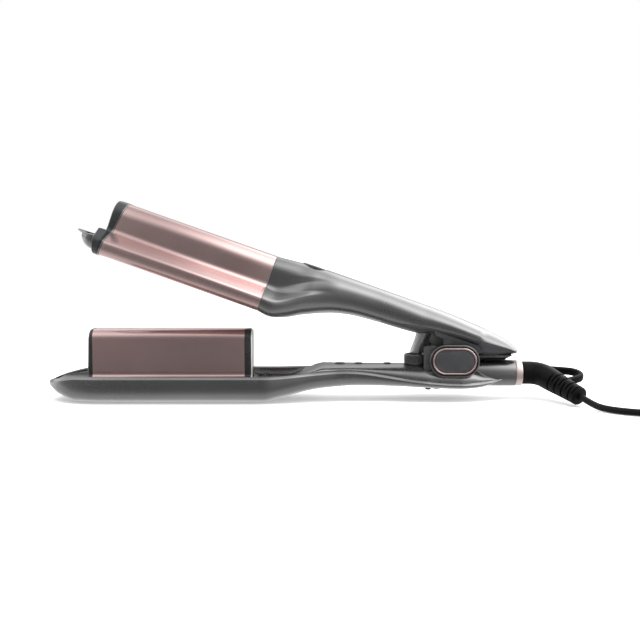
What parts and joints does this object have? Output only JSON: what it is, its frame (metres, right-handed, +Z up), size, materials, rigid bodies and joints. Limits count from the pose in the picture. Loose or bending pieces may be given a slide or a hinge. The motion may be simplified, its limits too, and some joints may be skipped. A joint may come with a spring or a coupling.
{
  "type": "hair waver",
  "caption": "Sprung two-arm hair waver: a tall heated ridge in a tray closes into a heated bell-shaped jaw; swivel cord with plug.",
  "frame": {"origin": "on the surface that the tray's flat bottom rests on, below the middle of the lower arm's length and width", "axes": "+X from the nose to the cord end, +Z up, +Y across the arms, away from the side that carries the visible hinge cover in the side view"},
  "size_m": [0.4877, 0.1378, 0.137],
  "materials": {
    "body_plastic": "satin gunmetal moulding",
    "liner_plastic": "darker satin moulding",
    "rose_plate": "rose-gold satin coating",
    "rose_trim": "rose-gold plated trim",
    "pale_collar": "pale rose polished ring",
    "black_plastic": "black heat-proof moulding",
    "black_rubber": "matt black",
    "cord_sheath": "matt black",
    "steel": "plain",
    "board_green": "solder mask",
    "heater_ceramic": "ceramic heater sandwich",
    "nylon": "plain nylon"
  },
  "bodies": {
    "lower_arm": {"lower_shell": "body_plastic", "tray_deck": "body_plastic", "handle_cover": "body_plastic", "lower_plate": "rose_plate", "ridge_front_cap": "black_plastic", "ridge_rear_cap": "black_plastic", "lower_heater": "heater_ceramic", "control_board": "board_green", "hinge_pin": "steel", "torsion_spring": "steel", "hinge_cover_right": "liner_plastic", "hinge_cover_left": "liner_plastic", "hinge_trim_right": "rose_trim", "hinge_trim_left": "rose_trim", "collar_ring": "pale_collar", "foot_pads": "black_rubber", "lower_screws": "steel", "retaining_ring": "steel"},
    "upper_arm": {"upper_shell": "body_plastic", "upper_liner": "liner_plastic", "jaw_cover": "rose_plate", "upper_plate": "rose_plate", "upper_heaters": "heater_ceramic", "jaw_front_cap": "black_plastic", "cool_tip": "body_plastic", "top_inlay": "liner_plastic", "depth_post": "body_plastic", "pivot_bushes": "nylon", "upper_screws": "steel"},
    "depth_dial": {"depth_dial": "liner_plastic"},
    "power_button": {"power_button": "liner_plastic"},
    "hotter_button": {"hotter_button": "liner_plastic"},
    "cooler_button": {"cooler_button": "liner_plastic"},
    "cord_swivel": {"cord_elbow": "black_rubber", "cord_lead": "cord_sheath", "cord_coil": "cord_sheath", "cord_tie": "black_plastic", "cord_tail": "cord_sheath", "plug_body": "black_rubber", "plug_pins": "steel"}
  },
  "joints": [
    {"name": "jaw_close", "type": "hinge", "parent": "lower_arm", "child": "upper_arm", "pos_m": [0.1157, 0, 0.0284], "axis": [0, -1, 0], "range_deg": [0, 19.2], "stiffness_Nm_per_rad": 0.8, "springref_deg": -34.38},
    {"name": "cord_swivel_turn", "type": "hinge", "parent": "lower_arm", "child": "cord_swivel", "pos_m": [0.1647, 0, 0.0179], "axis": [1, 0, 0], "continuous": true},
    {"name": "dial_turn", "type": "hinge", "parent": "lower_arm", "child": "depth_dial", "pos_m": [0.0906, 0, 0.0246], "axis": [0, 0, 1], "range_deg": [0, 90]},
    {"name": "power_button_press", "type": "slide", "parent": "lower_arm", "child": "power_button", "axis": [0, 0, -1], "range_m": [0, 0.0006], "stiffness_N_per_m": 400, "springref_m": -0.001},
    {"name": "hotter_button_press", "type": "slide", "parent": "lower_arm", "child": "hotter_button", "axis": [0, 0, -1], "range_m": [0, 0.0006], "stiffness_N_per_m": 400, "springref_m": -0.001},
    {"name": "cooler_button_press", "type": "slide", "parent": "lower_arm", "child": "cooler_button", "axis": [0, 0, -1], "range_m": [0, 0.0006], "stiffness_N_per_m": 400, "springref_m": -0.001}
  ]
}
